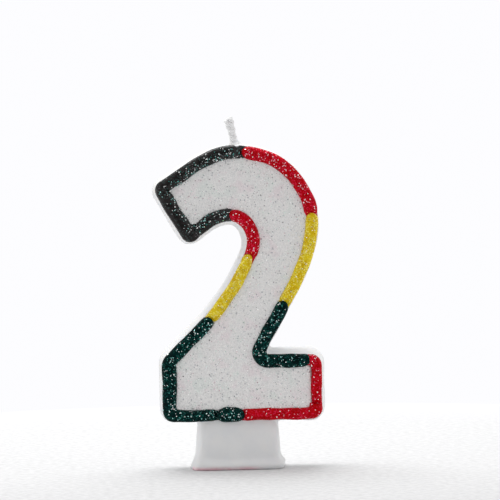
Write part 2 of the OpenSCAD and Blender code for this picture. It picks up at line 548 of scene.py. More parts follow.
GELS = {
    Slot.BLACK: GelFinish(
        "black_gel",
        rgb(0.003, 0.002, 0.002),
        rgb(0.017, 0.013, 0.013),
        rgb(0.032, 0.052, 0.050),
        0.14,
        gloss=0.13,
        specular=0.24,
    ),
    Slot.RED: GelFinish(
        "red_gel",
        rgb(0.40, 0.0001, 0.0015),
        rgb(0.54, 0.0005, 0.007),
        rgb(0.70, 0.015, 0.055),
        0.18,
        specular=0.05,
    ),
    Slot.YELLOW: GelFinish(
        "yellow_gel",
        rgb(0.66, 0.45, 0.003),
        rgb(0.77, 0.61, 0.02),
        rgb(0.90, 0.78, 0.14),
        0.22,
        specular=0.12,
        milk=0.35,
    ),
    Slot.GREEN: GelFinish(
        "green_gel",
        rgb(0.0002, 0.006, 0.006),
        rgb(0.0006, 0.020, 0.018),
        rgb(0.004, 0.06, 0.05),
        0.22,
        specular=0.04,
    ),
}
FLAKES = {
    Slot.BLACK: FlakeFinish("black_gel_flakes", (SILVER, TEAL, SMOKE, PEARL, CYAN, SMOKE)),
    Slot.RED: FlakeFinish("red_gel_flakes", (ROSE, CRIMSON, PEARL, ROSE, CRIMSON, CRIMSON)),
    Slot.YELLOW: FlakeFinish("yellow_gel_flakes", (GOLD, PEARL, GOLD, LIME, GOLD)),
    Slot.GREEN: FlakeFinish("green_gel_flakes", (CYAN, TEAL, PEARL, DEEP_TEAL, SILVER, CYAN, TEAL)),
    Slot.GLAZE: FlakeFinish(
        "face_flakes", (PEARL, SILVER, PALE_ROSE, SILVER, PEARL, PALE_MINT, SILVER, ASH)
    ),
}


# ---- geometry --------------------------------------------------------------------


def rows(table: object) -> np.ndarray:
    """Returns a table of numbers as an array of floats."""
    return np.asarray(table, dtype=float)


def unit(vectors: np.ndarray) -> np.ndarray:
    """Returns a table of vectors, shape (n, dims), each made one unit long."""
    return vectors / np.linalg.norm(vectors, axis=1, keepdims=True)


def full_turn(count: int) -> np.ndarray:
    """Returns count even angles round a circle, from 0."""
    return np.arange(count) / count * 2 * math.pi


class Waves:
    """Smooth random field: a sum of plane waves with seeded directions and phases.

    The value at a point p is sum(sin(k . p + phase)) / sqrt(count / 2), so that it
    has a spread of about 1, with wavelengths between half of length and length.
    """

    def __init__(self, seed: int, length: float, dims: int, count: int = 24) -> None:
        """Draws the waves.

        Args:
            seed: seed of the draw.
            length: longest wavelength, in the unit of the points.
            dims: number of coordinates of a point.
            count: number of waves.
        """
        draw = np.random.default_rng(seed)
        way = unit(draw.normal(size=(count, dims)))
        wavelength = length * draw.uniform(0.5, 1.0, size=(count, 1))
        self.k = way * 2 * math.pi / wavelength
        self.phase = draw.uniform(0, 2 * math.pi, size=count)

    def at(self, *coords: np.ndarray) -> np.ndarray:
        """Returns the field where coords are arrays of one shape, one for each axis."""
        points = np.stack(np.broadcast_arrays(*coords), axis=-1)
        return np.sin(points @ self.k.T + self.phase).sum(-1) / math.sqrt(len(self.phase) / 2)


def smooth_step(value: np.ndarray, low: float, high: float) -> np.ndarray:
    """Returns 0 below low, 1 above high and a smooth rise 3t^2 - 2t^3 between."""
    t = np.clip((value - low) / (high - low), 0, 1)
    return t * t * (3 - 2 * t)


def grid_faces(rings: int, around: int, first: int = 0) -> np.ndarray:
    """Returns the quads of a grid of rings, closed round each ring.

    Args:
        rings: number of rings.
        around: points on a ring.
        first: index of the grid's first point.
    """
    i, j = np.meshgrid(np.arange(rings - 1), np.arange(around), indexing="ij")
    low = first + i * around + j
    side = first + i * around + (j + 1) % around
    return np.stack([low, side, side + around, low + around], axis=-1).reshape(-1, 4)


def fan_faces(ring: np.ndarray, pole: int, flip: bool) -> np.ndarray:
    """Returns triangles between a closed ring of point indices and a pole."""
    after = np.roll(ring, -1)
    order = (after, ring) if flip else (ring, after)
    return np.stack([*order, np.full_like(ring, pole)], axis=-1)


def closed_tube(rings: np.ndarray, poles: np.ndarray) -> tuple[np.ndarray, list[np.ndarray]]:
    """Closes a stack of rings with a pole at each end.

    Args:
        rings: points, shape (rings, around, 3).
        poles: the first and the last pole, shape (2, 3).

    Returns:
        The points and the face arrays.
    """
    count, around = rings.shape[:2]
    points = np.concatenate([rings.reshape(-1, 3), poles])
    start = np.arange(around)
    end = start + (count - 1) * around
    pole = count * around
    fans = [fan_faces(start, pole, True), fan_faces(end, pole + 1, False)]
    return points, [grid_faces(count, around), *fans]


def signed_volume(points: np.ndarray, faces: list[np.ndarray]) -> float:
    """Returns the volume inside the faces, negative where they look inwards.

    Each face is cut into triangles from its first corner, and each triangle adds a
    sixth of the product a . (b x c) of its corners.
    """
    total = 0.0
    for group in faces:
        corner = points[group]
        for k in range(1, group.shape[1] - 1):
            turned = np.cross(corner[:, k], corner[:, k + 1])
            total += float(np.einsum("ij,ij->", corner[:, 0], turned)) / 6
    return total


def joined(parts: list[tuple]) -> tuple[np.ndarray, list[np.ndarray]]:
    """Puts closed parts into one table of points, all their faces looking outwards.

    Args:
        parts: points and face arrays of each part.

    Returns:
        The points and the face arrays.
    """
    faces, first = [], 0
    for points, groups in parts:
        inwards = signed_volume(points, groups) < 0
        faces += [(group[:, ::-1] if inwards else group) + first for group in groups]
        first += len(points)
    return np.concatenate([points for points, _ in parts]), faces


def filled(loop: np.ndarray, points: np.ndarray) -> tuple[np.ndarray, np.ndarray]:
    """Fills a closed loop with triangles.

    Args:
        loop: the loop's points, shape (n, 2).
        points: the loop's points and those wanted inside it, the loop first.

    Returns:
        The points and the triangles.
    """
    found = delaunay_2d_cdt(points.tolist(), [], [list(range(len(loop)))], 1, 1e-7)
    return rows([tuple(point) for point in found[0]]), np.asarray(found[2])


def make_piece(
    name: str, points: np.ndarray, faces: list[np.ndarray], slot: Slot, smooth: bool = True
) -> bpy.types.Object:
    """Makes a piece of the candle from points in millimetres.

    Args:
        name: object name.
        points: shape (n, 3), in millimetres.
        faces: arrays of point indices, one array for each number of corners.
        slot: material slot of the record; not used.
        smooth: whether the faces are shaded smooth.

    Returns:
        The object, riding on the candle's body, its faces looking outwards.
    """
    if signed_volume(points, faces) < 0:
        faces = [group[:, ::-1] for group in faces]
    mesh = bpy.data.meshes.new(name)
    mesh.vertices.add(len(points))
    mesh.vertices.foreach_set("co", (points * MM).astype(np.float32).ravel())
    sizes = np.concatenate([np.full(len(group), group.shape[1]) for group in faces])
    mesh.loops.add(int(sizes.sum()))
    corners = np.concatenate([group.ravel() for group in faces])
    mesh.loops.foreach_set("vertex_index", corners.astype(np.int32))
    mesh.polygons.add(len(sizes))
    starts = np.concatenate([[0], np.cumsum(sizes)[:-1]])
    mesh.polygons.foreach_set("loop_start", starts.astype(np.int32))
    mesh.update(calc_edges=True)
    mesh.validate()
    mesh.polygons.foreach_set("use_smooth", np.full(len(mesh.polygons), smooth))
    piece = bpy.data.objects.new(name, mesh)
    bpy.context.scene.collection.objects.link(piece)
    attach(piece, BODY)
    return piece


def dress(piece: bpy.types.Object, material: bpy.types.Material) -> None:
    """Gives a piece its one material."""
    piece.data.materials.clear()
    piece.data.materials.append(material)


def report(piece: bpy.types.Object) -> None:
    """Logs a piece's name and number of faces."""
    LOG.info("%s: %d faces", piece.name, len(piece.data.polygons))


def node_box(node: str) -> np.ndarray:
    """Returns a solid's lowest and highest corner in millimetres, shape (2, 3)."""
    return rows(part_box(node)) / MM


def face_plane() -> float:
    """Returns Y of the wax's front face, where the glaze and the strokes begin."""
    return node_box("glitter_glaze")[1, 1]


def node_points(node: str) -> np.ndarray:
    """Returns a solid's points in millimetres, shape (n, 3)."""
    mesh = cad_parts[node].data
    points = np.empty(len(mesh.vertices) * 3, dtype=np.float32)
    mesh.vertices.foreach_get("co", points)
    return points.reshape(-1, 3).astype(float) / MM


# ---- outline of the numeral ------------------------------------------------------


@dataclass
class Outline:
    """Middle line of the border: straights and round corners, anticlockwise.

    The corners are those of a numeral 65.6 mm tall: distance to the right of the
    middle, height above the peg, and radius. The outline is scaled and placed by the
    solids: the top of the black arc and the bottom of the red base stroke.
    """

    corners: tuple = (
        (-17.0, 1.6, 1.0),
        (18.0, 1.6, 1.0),
        (18.0, 14.2, 1.2),
        (3.0, 14.3, 2.1),
        (15.0, 35.5, 40.0),
        (19.6, 50.2, 17.6),
        (9.5, 63.4, 16.0),
        (-4.6, 64.5, 19.6),
        (-18.3, 55.6, 1.0),
        (-11.5, 44.3, 0.5),
        (-5.5, 48.8, 9.6),
        (1.1, 49.7, 5.2),
        (4.5, 42.6, 7.6),
        (-2.7, 28.4, 60.0),
        (-17.0, 14.4, 2.0),
    )
    drawn_height: float = 65.6
    step: float = 0.2
    sharpest: float = 0.6
    reach: float = 4.0
    lane_gap: float = 0.1

    def __post_init__(self) -> None:
        """Scales the corners and works out the parallel lines on both sides."""
        self.base = node_box("red_base_bead")[0, 2]
        top = max(node_box("black_arc_bead")[1, 2], node_box("red_arc_bead")[1, 2])
        self.scale = (top - self.base) / self.drawn_height
        table = rows(self.corners) * self.scale
        self.points, self.radii = table[:, :2], table[:, 2]
        self.offsets = np.arange(-self.reach, self.reach + self.lane_gap / 2, self.lane_gap)
        self.lanes = np.stack([self._lane(grow) for grow in self.offsets])
        self.middle = self._lane(0.0)
        edges = np.linalg.norm(np.roll(self.middle, -1, axis=0) - self.middle, axis=1)
        self.mile = np.concatenate([[0.0], np.cumsum(edges)])
        self.length = self.mile[-1]

    def _lane(self, grow: float) -> np.ndarray:
        """Works out the closed line that stands grow outside the middle line.

        A corner's tip moves along the bisector, and its arc keeps its centre. Every
        lane has the same number of points, set by the middle line's own lengths.

        Args:
            grow: distance outside, negative for inside.

        Returns:
            Points (x, z), shape (n, 2).
        """
        before = np.roll(self.points, 1, axis=0)
        after = np.roll(self.points, -1, axis=0)
        u, v = unit(self.points - before), unit(after - self.points)
        bend = np.arctan2(u[:, 0] * v[:, 1] - u[:, 1] * v[:, 0], (u * v).sum(1))
        side = np.sign(bend)
        right_u = np.stack([u[:, 1], -u[:, 0]], axis=1)
        right_v = np.stack([v[:, 1], -v[:, 0]], axis=1)
        tip = self.points + (right_u + right_v) / (1 + (u * v).sum(1))[:, None] * grow
        radius = np.maximum(self.radii + side * grow, self.sharpest)
        cut = radius * np.tan(np.abs(bend) / 2)
        starts = tip - u * cut[:, None]
        ends = tip + v * cut[:, None]
        hub = starts - right_u * (radius * side)[:, None]
        own_cut = self.radii * np.tan(np.abs(bend) / 2)
        straight = np.linalg.norm(after - self.points, axis=1) - own_cut - np.roll(own_cut, -1)
        parts = []
        for i in range(len(self.points)):
            turns = max(6, int(self.radii[i] * abs(bend[i]) / self.step))
            angle = np.arange(turns) / turns * bend[i]
            arm = starts[i] - hub[i]
            cos, sin = np.cos(angle), np.sin(angle)
            turned = [arm[0] * cos - arm[1] * sin, arm[0] * sin + arm[1] * cos]
            parts.append(hub[i] + np.stack(turned, 1))
            runs = max(2, int(straight[i] / self.step))
            t = (np.arange(runs) / runs)[:, None]
            parts.append(ends[i] * (1 - t) + np.roll(starts, -1, axis=0)[i] * t)
        return np.concatenate(parts)

    def place(self, along: np.ndarray, outside: np.ndarray) -> tuple[np.ndarray, np.ndarray]:
        """Finds points beside the middle line, straight between the stored lanes.

        Args:
            along: running length from the lower left corner, in millimetres.
            outside: distance outside the middle line.

        Returns:
            x and z of each point.
        """
        along, outside = np.broadcast_arrays(along, outside)
        where = np.interp(np.mod(along, self.length), self.mile, np.arange(len(self.mile)))
        count = self.lanes.shape[1]
        k = np.minimum(where.astype(int), count - 1)
        t = (where - k)[..., None]
        lane = np.clip((outside - self.offsets[0]) / self.lane_gap, 0, len(self.offsets) - 1.001)
        j = lane.astype(int)
        w = (lane - j)[..., None]
        after = (k + 1) % count
        low = self.lanes[j, k] * (1 - t) + self.lanes[j, after] * t
        high = self.lanes[j + 1, k] * (1 - t) + self.lanes[j + 1, after] * t
        point = low * (1 - w) + high * w
        return point[..., 0], self.base + point[..., 1]

    def loop(self, grow: float, gap: float) -> np.ndarray:
        """Returns the outline at a distance outside as points (x, z) about gap apart."""
        along = np.arange(0, self.length - gap / 2, gap)
        return np.stack(self.place(along, np.full_like(along, grow)), axis=1)

    def span(self, node: str) -> tuple[float, float]:
        """Finds the stretch of the middle line that a stroke's solid covers.

        Each of the solid's points takes the running length of the nearest point of
        the middle line. The stretch starts after the widest gap between them.

        Args:
            node: the stroke's solid.

        Returns:
            Running length of its start and its end, the end past the start.
        """
        points = node_points(node)[:, [0, 2]] - (0.0, self.base)
        gaps = np.linalg.norm(points[:, None] - self.middle[None], axis=2)
        found = np.unique(np.round(self.mile[gaps.argmin(1)], 2))
        steps = np.diff(np.concatenate([found, [found[0] + self.length]]))
        start = (int(steps.argmax()) + 1) % len(found)
        return float(found[start]), float(found[start] + self.length - steps.max())


# ---- piped border ----------------------------------------------------------------

FILM = 0.03
FILM_LIFT = 0.01
FILM_CORNERS = 6


@dataclass
class Stroke:
    """One piped stroke of gel.

    Attributes:
        node: the solid that it stands for.
        slot: its colour of gel.
        start_over: whether its start laps over the stroke before.
        end_over: whether its end laps over the stroke after.
        width: width in millimetres.
        shift: how far it lies outside the border's middle line.
        swells: local changes, each (place, reach, width, shift, height): the running
            length of its middle, the distance at which it fades, and the changes.
        beyond: how far its start and its end reach past the solid's.
        flakes: flakes on a millimetre of its length.
        lean: where most flakes lie, 0 at the outer edge and 1 at the inner edge.
        spread: how far the flakes spread about that place.
        height: height above the face in millimetres.
        tuck: length that lies under the next stroke where it doesn't lap over.
        nose: length beyond the tuck at which it stays low.
        sink: depth below the face.
        uneven: spread of the noise on width, shift and height.
        emerging: length over which it rises out from under its neighbour.
        narrower: share of the width lost under the neighbour.
        lower: share of the height lost there.
    """

    node: str
    slot: Slot
    start_over: bool
    end_over: bool
    width: float = 3.2
    shift: float = 0.0
    swells: tuple = ()
    beyond: tuple = (0.0, 0.0)
    flakes: float = 9.0
    lean: float = 0.5
    spread: float = 0.25
    height: float = 1.5
    tuck: float = 2.0
    nose: float = 0.8
    sink: float = 0.3
    gap: float = 0.2
    around: int = 28
    cap_rings: int = 10
    cap_reach: float = 1.15
    cap_power: float = 0.38
    uneven: tuple = (0.022, 0.05, 0.04)
    emerging: float = 1.3
    narrower: float = 0.08
    lower: float = 0.66
    lump: float = 0.035
    flake_margin: float = 0.8

    def prepare(self, outline: Outline, face_y: float, seed: int) -> None:
        """Finds the stroke's stretch of the outline and draws its unevenness."""
        self.outline, self.face_y = outline, face_y
        self.first, self.last = outline.span(self.node)
        self.first -= self.beyond[0] if self.start_over else self.tuck
        self.last += self.beyond[1] if self.end_over else self.tuck
        self.wide = Waves(seed, 9.0, 1)
        self.side = Waves(seed + 1, 14.0, 1)
        self.tall = Waves(seed + 2, 7.0, 1)
        self.lumps = Waves(seed + 3, 1.6, 3, 40)

    def form(self, along: np.ndarray) -> tuple[np.ndarray, np.ndarray, np.ndarray]:
        """Works out half width, shift and height at running lengths.

        Each is its nominal size plus smooth noise and flat-topped local changes
        exp(-(distance / reach)^4). An end that lies under its neighbour is lower and
        a little narrower.
        """
        wide, aside, tall = self.uneven
        half = self.width / 2 * (1 + wide * self.wide.at(along))
        shift = self.shift + aside * self.side.at(along)
        height = self.height * (1 + tall * self.tall.at(along))
        for place, reach, width, aside, raised in self.swells:
            bell = np.exp(-(((along - place) / reach) ** 4))
            half = half + width / 2 * bell
            shift = shift + aside * bell
            height = height + raised * bell
        covered = self.tuck + self.nose
        buried = np.zeros_like(along)
        ends = (self.start_over, along - self.first), (self.end_over, self.last - along)
        for over, inland in ends:
            if not over:
                buried += 1 - smooth_step(inland, covered, covered + self.emerging)
        return half * (1 - self.narrower * buried), shift, height * (1 - self.lower * buried)

    def surface(self, along: np.ndarray, turn: np.ndarray, cap: np.ndarray) -> np.ndarray:
        """Finds points of the skin.

        Across the stroke a point lies at half * cos(turn), and above the face at
        height * sin(turn)^0.8; the part below the face is flatter. Both shrink with
        cap towards an end. Lumps of glitter under the skin raise it a little.

        Args:
            along: running length.
            turn: angle round the cross-section, 0 at the outer edge, up over the dome.
            cap: 1 along the stroke, falling to 0 at the tip of a round end.

        Returns:
            Points (x, y, z), the shape of the arguments with 3 added.
        """
        half, shift, height = self.form(along)
        cos, sin = np.cos(turn), np.sin(turn)
        rise = np.abs(sin)
        x, z = self.outline.place(along, shift + half * cos * cap)
        lumps = self.lump * self.lumps.at(x, z, 2 * rise) * rise
        dome = height * rise**0.8 * cap**self.cap_power + lumps * cap
        up = np.where(sin >= 0, dome, -self.sink * rise**0.5 * cap)
        return np.stack([x, self.face_y - up, z], axis=-1)

    def build(self) -> tuple[np.ndarray, list[np.ndarray]]:
        """Carries the cross-section along the stretch and rounds both ends.

        At an end the distance from the tip is reach * (1 - cos(phi)) while the section
        has the share sin(phi), phi going from 0 to 90 degrees.
        """
        phi = np.linspace(0, math.pi / 2, self.cap_rings + 1)[1:]
        reach = self.cap_reach * self.width / 2
        head = self.first + reach * (1 - np.cos(phi))
        tail = (self.last - reach * (1 - np.cos(phi)))[::-1]
        rings = max(3, int((tail[0] - head[-1]) / self.gap))
        body = np.linspace(head[-1], tail[0], rings + 1)[1:-1]
        along = np.concatenate([head, body, tail])
        cap = np.concatenate([np.sin(phi), np.ones(len(body)), np.sin(phi)[::-1]])
        turn = full_turn(self.around)
        tube = self.surface(along[:, None], turn[None], cap[:, None])
        ends = rows([self.first, self.last])
        poles = self.surface(ends, np.full(2, math.pi / 2), np.zeros(2))
        return closed_tube(tube, poles)

    def scatter(self, draw: np.random.Generator) -> tuple[np.ndarray, np.ndarray]:
        """Draws places for flakes on the dome.

        Returns:
            Their points and the skin's normals there, from small steps both ways.
        """
        count = int(self.flakes * (self.last - self.first))
        low = self.first + (self.flake_margin if self.start_over else self.tuck)
        high = self.last - (self.flake_margin if self.end_over else self.tuck)
        along = draw.uniform(low, high, count)
        turn = math.pi * np.clip(draw.normal(self.lean, self.spread, count), 0.08, 0.92)
        full = np.ones(count)
        here = self.surface(along, turn, full)
        step = 0.02
        ahead = self.surface(along + step, turn, full) - here
        beside = self.surface(along, turn + step, full) - here
        normal = unit(np.cross(ahead, beside))
        return here, normal * np.where(normal[:, 1] > 0, -1.0, 1.0)[:, None]


def flake_mesh(
    points: np.ndarray, normals: np.ndarray, size: tuple, tilt: float, draw: np.random.Generator
) -> tuple[np.ndarray, list[np.ndarray]]:
    """Makes thin hexagons of film, 20 triangles each.

    A flake's corners stand at radius * (cos(a) * u + sin(a) * v) for six angles a,
    u and v being two directions at right angles to its own tilted normal, and half
    the film's thickness to each side along that normal.

    Args:
        points: middles of the flakes, shape (n, 3).
        normals: directions that they face before they are tilted.
        size: smallest and largest radius in millimetres.
        tilt: spread of the random lean.
        draw: source of random numbers.

    Returns:
        The points and the face arrays.
    """
    count = len(points)
    facing = unit(normals + draw.normal(scale=tilt, size=(count, 3)))
    u = unit(np.cross(facing, draw.normal(size=(count, 3))))
    v = np.cross(facing, u)
    angle = full_turn(FILM_CORNERS)
    radius = draw.uniform(*size, size=(count, 1, 1))
    arm = np.cos(angle)[None, :, None] * u[:, None] + np.sin(angle)[None, :, None] * v[:, None]
    flat = (points + facing * FILM_LIFT)[:, None] + radius * arm
    half = facing[:, None] * FILM / 2
    mesh = np.concatenate([flat - half, flat + half], axis=1).reshape(-1, 3)
    first = (np.arange(count) * 2 * FILM_CORNERS)[:, None, None]
    ring = np.arange(FILM_CORNERS)
    upper, after = ring + FILM_CORNERS, np.roll(ring, -1)
    sides = np.stack([ring, after, after + FILM_CORNERS, upper], axis=1)[None] + first
    hexagons = np.stack([ring[::-1], upper])[None] + first
    return mesh, [sides.reshape(-1, 4), hexagons.reshape(-1, FILM_CORNERS)]


def make_flakes(
    name: str,
    points: np.ndarray,
    normals: np.ndarray,
    slot: Slot,
    size: tuple,
    tilt: float,
    seed: int,
) -> bpy.types.Object:
    """Makes one piece of loose flakes, each with its own tint number.

    Args:
        name: name of the piece.
        points: middles of the flakes.
        normals: directions that the skin faces there.
        slot: slot of the gel that holds them.
        size: smallest and largest radius in millimetres.
        tilt: spread of the random lean.
        seed: seed of the draw.

    Returns:
        The piece.
    """
    draw = np.random.default_rng(seed)
    mesh_points, faces = flake_mesh(points, normals, size, tilt, draw)
    piece = make_piece(name, mesh_points, faces, slot, smooth=False)
    tint = piece.data.attributes.new("tint", "FLOAT", "POINT")
    numbers = np.repeat(draw.uniform(size=len(points)), 2 * FILM_CORNERS)
    tint.data.foreach_set("value", numbers.astype(np.float32))
    dress(piece, FLAKES[slot].material())
    return piece


@dataclass
class Border:
    """The border of piped strokes with the flakes that lie in their skin."""

    outline: Outline
    strokes: tuple = (
        Stroke(
            "green_base_bead", Slot.GREEN, True, True, 3.0,
            swells=((15.0, 2.3, 0.7, -0.1, 0.25),),
            beyond=(0.0, 0.6),
            lean=0.55,
        ),
        Stroke(
            "red_base_bead", Slot.RED, False, True, 2.85,
            swells=((37.0, 1.3, 0.45, 0.12, 0.1),),
            flakes=5,
        ),
        Stroke("red_side_bead", Slot.RED, False, False, 2.65, shift=0.18, flakes=4),
        Stroke(
            "green_notch_bead", Slot.GREEN, True, True, 3.3,
            beyond=(0.7, 0.15),
            flakes=7,
            lean=0.6,
        ),
        Stroke("yellow_outer_bead", Slot.YELLOW, False, True, 3.1, flakes=5),
        Stroke(
            "red_arc_bead", Slot.RED, False, True, 3.15,
            swells=((99.4, 3.4, 0.15, 0.1, 0.05),),
            beyond=(0.0, -0.4),
            flakes=11,
        ),
        Stroke(
            "black_arc_bead", Slot.BLACK, False, False, 3.25,
            swells=((125.6, 4.9, 0.1, 0.22, 0.05), (123.0, 0.5, -0.35, -0.15, -0.3)),
            flakes=10,
            lean=0.68,
        ),
        Stroke("black_end_bead", Slot.BLACK, True, False, 3.5, flakes=5, lean=0.72, spread=0.18),
        Stroke("black_inner_bead", Slot.BLACK, True, False, lean=0.6),
        Stroke("red_inner_bead", Slot.RED, True, False, 3.1, beyond=(0.7, 0.0)),
        Stroke(
            "yellow_inner_bead", Slot.YELLOW, True, False, 2.95,
            swells=((180.0, 1.9, -0.45, 0.35, 0.0), (199.2, 1.6, -0.6, 0.2, 0.0)),
            flakes=5,
        ),
        Stroke(
            "green_left_bead", Slot.GREEN, True, False,
            swells=(
                (198.4, 1.6, 0.0, -0.08, 0.1),
                (217.2, 6.2, 0.35, -0.12, 0.05),
                (231.0, 6.0, -0.35, 0.1, 0.0),
                (235.8, 0.9, -0.5, 0.1, -0.4),
            ),
            flakes=8,
            lean=0.6,
        ),
    )
    flake_size: tuple = (0.09, 0.17)
    tilt: float = 0.34

    def build(self) -> None:
        """Builds the strokes, then one piece of flakes for each colour."""
        face_y = face_plane()
        gels = {slot: finish.material() for slot, finish in GELS.items()}
        places: dict[Slot, list] = {slot: [] for slot in GELS}
        for number, stroke in enumerate(self.strokes):
            stroke.prepare(self.outline, face_y, Seed.STROKES + 10 * number)
            points, faces = stroke.build()
            piece = make_piece(stroke.node.replace("bead", "gel"), points, faces, stroke.slot)
            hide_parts(stroke.node)
            dress(piece, gels[stroke.slot])
            places[stroke.slot].append(stroke.scatter(np.random.default_rng(Seed.PLACES + number)))
            report(piece)
        for number, (slot, found) in enumerate(places.items()):
            points = np.concatenate([pair[0] for pair in found])
            normals = np.concatenate([pair[1] for pair in found])
            name = slot.value.replace("glitter", "flakes")
            film = (slot, self.flake_size, self.tilt, Seed.FILM + number)
            report(make_flakes(name, points, normals, *film))


# ---- glazed face -----------------------------------------------------------------


def inside_of(loop: np.ndarray, points: np.ndarray) -> np.ndarray:
    """Tells which points lie in a closed loop, by how often a level ray crosses it."""
    a, b = loop[None], np.roll(loop, -1, axis=0)[None]
    p = points[:, None]
    spans = (a[..., 1] > p[..., 1]) != (b[..., 1] > p[..., 1])
    rise = np.where(b[..., 1] == a[..., 1], 1.0, b[..., 1] - a[..., 1])
    cross = a[..., 0] + (p[..., 1] - a[..., 1]) * (b[..., 0] - a[..., 0]) / rise
    return (spans & (p[..., 0] < cross)).sum(1) % 2 == 1


def edge_distance(loop: np.ndarray, points: np.ndarray) -> np.ndarray:
    """Returns each point's distance to the nearest of a loop's points."""
    parts = np.array_split(points, 40)
    return np.concatenate([np.linalg.norm(part[:, None] - loop, axis=2).min(1) for part in parts])


def filled_sheet(loop: np.ndarray, gap: float) -> tuple[np.ndarray, np.ndarray]:
    """Fills a closed loop with even triangles.

    Inner points stand on rows of equilateral triangles with sides of gap, and keep
    0.6 gaps away from the loop.

    Args:
        loop: the loop's points, shape (n, 2); they come first in the result.
        gap: distance between neighbours.

    Returns:
        The points and the triangles.
    """
    low, high = loop.min(0), loop.max(0)
    across = np.arange(low[0], high[0], gap)
    down = np.arange(low[1], high[1], gap * math.sqrt(3) / 2)
    x, z = np.meshgrid(across, down)
    x = x + (np.arange(len(down)) % 2)[:, None] * gap / 2
    inner = np.stack([x.ravel(), z.ravel()], axis=1)
    inner = inner[inside_of(loop, inner)]
    inner = inner[edge_distance(loop, inner) > 0.6 * gap]
    return filled(loop, np.concatenate([loop, inner]))


@dataclass
class GlazedFace:
    """The skin of glitter glaze inside the border, with loose flakes on it."""

    outline: Outline
    node: str = "glitter_glaze"
    under: float = 0.5
    gap: float = 0.4
    unevenness: float = 0.03
    sink: float = 0.15
    flakes: float = 1.0
    flake_size: tuple = (0.09, 0.18)
    tilt: float = 0.3

    def build(self) -> None:
        """Builds the skin and its flakes.

        The front of the skin stands thickness + unevenness * waves before the face,
        the back lies a little inside the wax, and a strip of quads joins them round
        the edge, which the border's strokes cover.
        """
        box = node_box(self.node)
        front, face = box[0, 1], box[1, 1]
        inner = self.outline.loop(box_edge(self.outline, box) + self.under, self.gap)
        flat, triangles = filled_sheet(inner, self.gap)
        waves = Waves(Seed.GLAZE_WAVES, 6.0, 2)
        fine = Waves(Seed.GLAZE_GRAIN, 1.2, 2, 40)

        def skin(points: np.ndarray) -> np.ndarray:
            """Returns Y of the front of the skin at points (x, z)."""
            x, z = points[:, 0], points[:, 1]
            return front - self.unevenness * (0.6 * waves.at(x, z) + 0.25 * fine.at(x, z))

        count = len(flat)
        top = np.stack([flat[:, 0], skin(flat), flat[:, 1]], axis=1)
        bottom = np.stack([flat[:, 0], np.full(count, face + self.sink), flat[:, 1]], axis=1)
        rim = np.arange(len(inner))
        after = np.roll(rim, -1)
        wall = np.stack([after, rim, rim + count, after + count], axis=1)
        lower = triangles[:, ::-1] + count
        points = np.concatenate([top, bottom])
        piece = make_piece("face_glaze", points, [wall, triangles, lower], Slot.GLAZE)
        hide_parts(self.node)
        dress(piece, GlazeFinish().material())
        report(piece)
        draw = np.random.default_rng(Seed.FACE_PLACES)
        low, high = inner.min(0), inner.max(0)
        count = int(self.flakes * np.prod(high - low))
        spots = draw.uniform(low, high, size=(count, 2))
        spots = spots[inside_of(inner, spots)]
        points = np.stack([spots[:, 0], skin(spots), spots[:, 1]], axis=1)
        normals = np.broadcast_to((0.0, -1.0, 0.0), points.shape)
        film = (Slot.GLAZE, self.flake_size, self.tilt, Seed.FACE_FILM)
        report(make_flakes("face_flakes", points, normals, *film))


def box_edge(outline: Outline, box: np.ndarray) -> float:
    """Returns how far outside the middle line the edge of a solid's bottom lies."""
    return outline.loop(0.0, 1.0)[:, 1].min() - box[0, 2]


# ---- wax -------------------------------------------------------------------------


